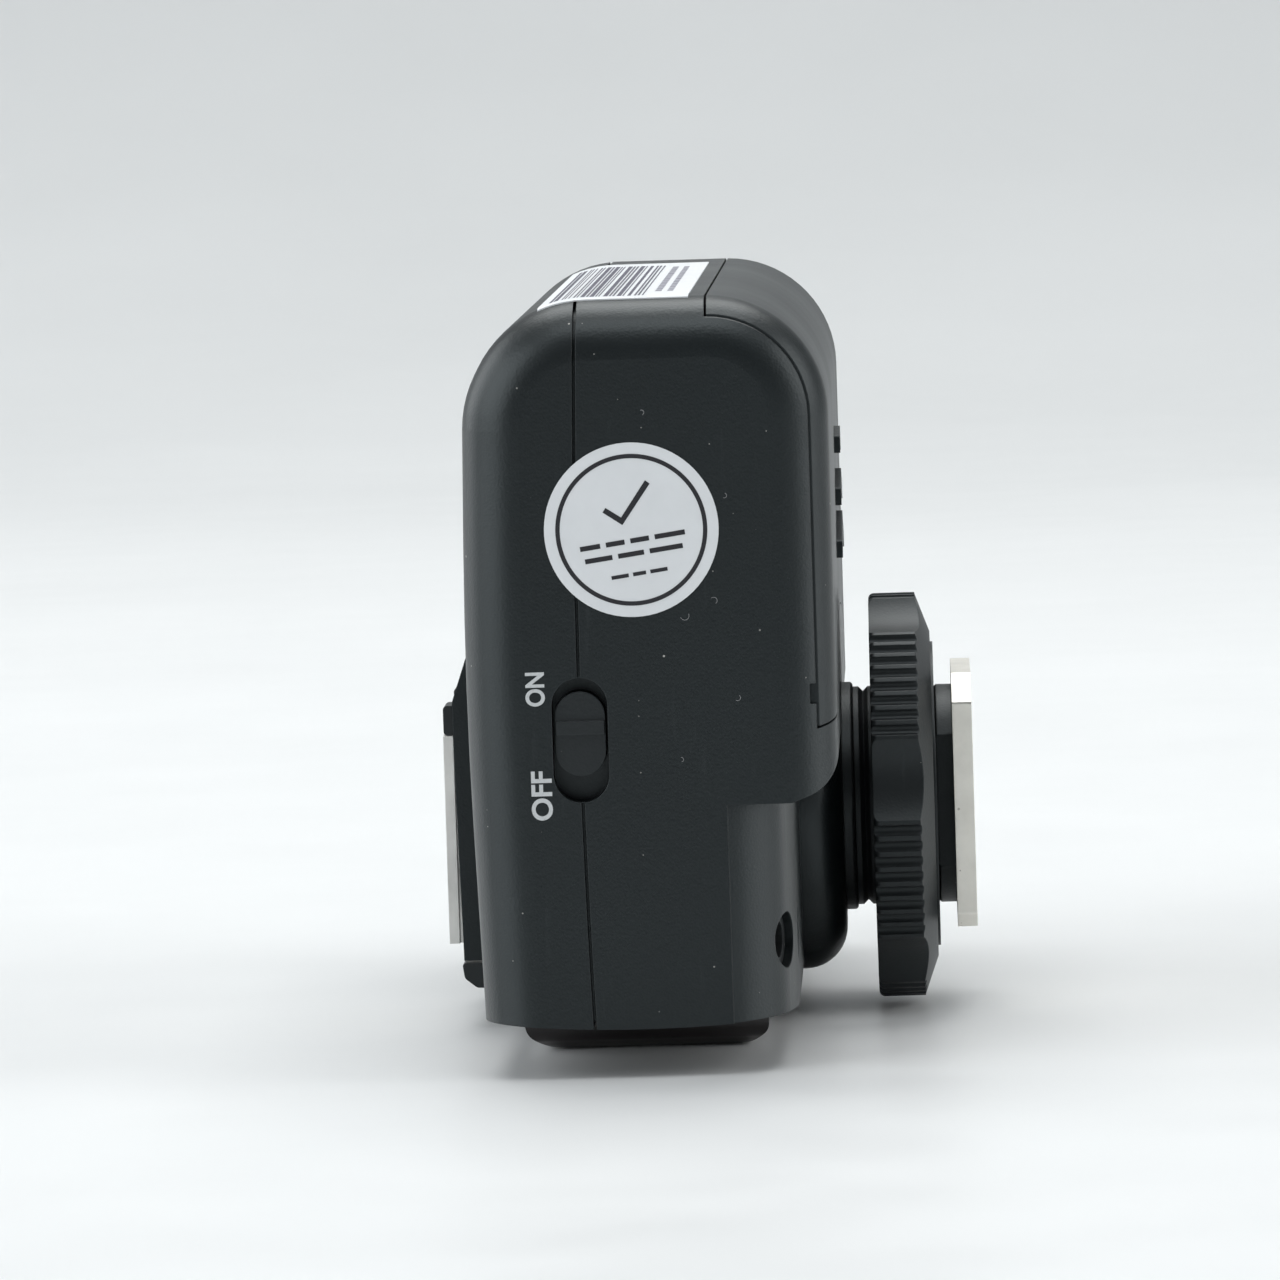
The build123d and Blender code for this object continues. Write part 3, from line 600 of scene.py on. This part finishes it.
add_mesh("lint_fibres", lint_fibres, "housing", material=lint)


# ---------------------------------------------------------------- stage, light and camera

def studio_floor():
    """A pale sweep: flat floor that curves up into the backdrop."""
    material, shader, coords = new_material("studio_sweep")
    g = Graph(material, coords)
    tone = g.mix(g.ramp(g.noise(9, 3), 0.3, 0.7), (0.70, 0.714, 0.718), (0.73, 0.744, 0.748))
    g.link(tone, shader.inputs["Base Color"])
    g.link(g.ramp(g.noise(60, 3), 0.3, 0.7, 0.36, 0.42), shader.inputs["Roughness"])
    g.link(g.bump(g.noise(40, 3, 0.5), 0.03, 0.0004), shader.inputs["Normal"])
    shape = bmesh.new()
    profile = [(-SWEEP_HALF_WIDTH, FLOOR_Z), (-0.4, FLOOR_Z), (0.0, FLOOR_Z), (SWEEP_START_Y, FLOOR_Z)]
    for i in range(1, SWEEP_STEPS + 1):
        a = math.pi / 2 * i / SWEEP_STEPS
        profile.append((SWEEP_START_Y + SWEEP_RADIUS * math.sin(a),
                        FLOOR_Z + SWEEP_RADIUS * (1 - math.cos(a))))
    profile.append((SWEEP_START_Y + SWEEP_RADIUS, BACKDROP_TOP))
    across = (-SWEEP_HALF_WIDTH, -1.0, 1.0, SWEEP_HALF_WIDTH)
    rows = [[shape.verts.new((x, y, z)) for x in across] for y, z in profile]
    for a, b in zip(rows, rows[1:]):
        for i in range(len(across) - 1):
            shape.faces.new((a[i], a[i + 1], b[i + 1], b[i]))
    mesh = bpy.data.meshes.new("sweep")
    shape.to_mesh(mesh)
    shape.free()
    for face in mesh.polygons:
        face.use_smooth = True
    mesh.materials.append(material)
    sweep = bpy.data.objects.new("sweep", mesh)
    scene.collection.objects.link(sweep)


def softbox(name, place, target, size, power, colour):
    lamp = bpy.data.lights.new(name, "AREA")
    lamp.shape = "RECTANGLE"
    lamp.size, lamp.size_y = size
    lamp.energy = power
    lamp.color = colour
    holder = bpy.data.objects.new(name, lamp)
    holder.location = place
    aim = Vector(target) - Vector(place)
    holder.rotation_euler = aim.to_track_quat("-Z", "Y").to_euler()
    scene.collection.objects.link(holder)


def make_lights():
    """A bright tent over and beside the object, and a dark room behind the camera."""
    world = bpy.data.worlds.new("studio")
    scene.world = world
    world.use_nodes = True
    tree = world.node_tree
    ground = tree.nodes["Background"]
    direction = tree.nodes.new("ShaderNodeSeparateXYZ")
    tree.links.new(tree.nodes.new("ShaderNodeTexCoord").outputs["Generated"], direction.inputs[0])
    fade = tree.nodes.new("ShaderNodeMapRange")
    for key, value in (("From Min", -0.9), ("From Max", 0.4), ("To Min", 0.12), ("To Max", 0.34)):
        fade.inputs[key].default_value = value
    tree.links.new(direction.outputs[1], fade.inputs["Value"])
    tree.links.new(fade.outputs[0], ground.inputs[1])
    ground.inputs[0].default_value = (0.86, 0.94, 1.0, 1)
    softbox("overhead", (0.0, 0.42, 0.95), LIGHT_TARGET, (0.9, 0.7), 8.2, (1.0, 0.998, 0.985))
    softbox("front_top", (0.0, -0.4, 0.95), LIGHT_TARGET, (0.8, 0.4), 3.1, (0.98, 0.995, 1.0))
    softbox("left_front", (-0.87, -0.45, 0.42), LIGHT_TARGET, (0.9, 0.8), 6.0, (0.97, 0.99, 1.0))
    softbox("left_back", (-0.95, 0.45, 0.42), LIGHT_TARGET, (0.7, 0.8), 4.5, (0.97, 0.99, 1.0))
    softbox("right_box", (0.93, -0.15, 0.42), LIGHT_TARGET, (0.8, 0.8), 5.5, (1.0, 0.995, 0.98))
    softbox("backdrop_wash", (0.0, 0.6, 1.3), (0.0, 1.6, 0.5), (1.6, 0.6), 1.5, (0.97, 0.995, 1.0))


def make_camera():
    """The photographer's view: long lens, slightly above, looking along +Y at the switch end."""
    camera = bpy.data.cameras.new("camera")
    camera.lens = 267
    camera.sensor_width = 36
    camera.dof.use_dof = False
    camera.clip_start = 0.01
    camera.clip_end = 50
    holder = bpy.data.objects.new("camera", camera)
    scene.collection.objects.link(holder)
    forward = (CAMERA_TARGET - CAMERA_PLACE).normalized()
    right = forward.cross(Vector((0, 0, 1))).normalized()
    up = right.cross(forward)
    turned_right = right * math.cos(CAMERA_LEAN) - up * math.sin(CAMERA_LEAN)
    turned_up = up * math.cos(CAMERA_LEAN) + right * math.sin(CAMERA_LEAN)
    axes = Matrix((turned_right, turned_up, -forward)).transposed()
    holder.matrix_world = Matrix.Translation(CAMERA_PLACE) @ axes.to_4x4()
    scene.camera = holder


studio_floor()
make_lights()
make_camera()
scene.view_settings.view_transform = "Standard"
scene.view_settings.look = "None"
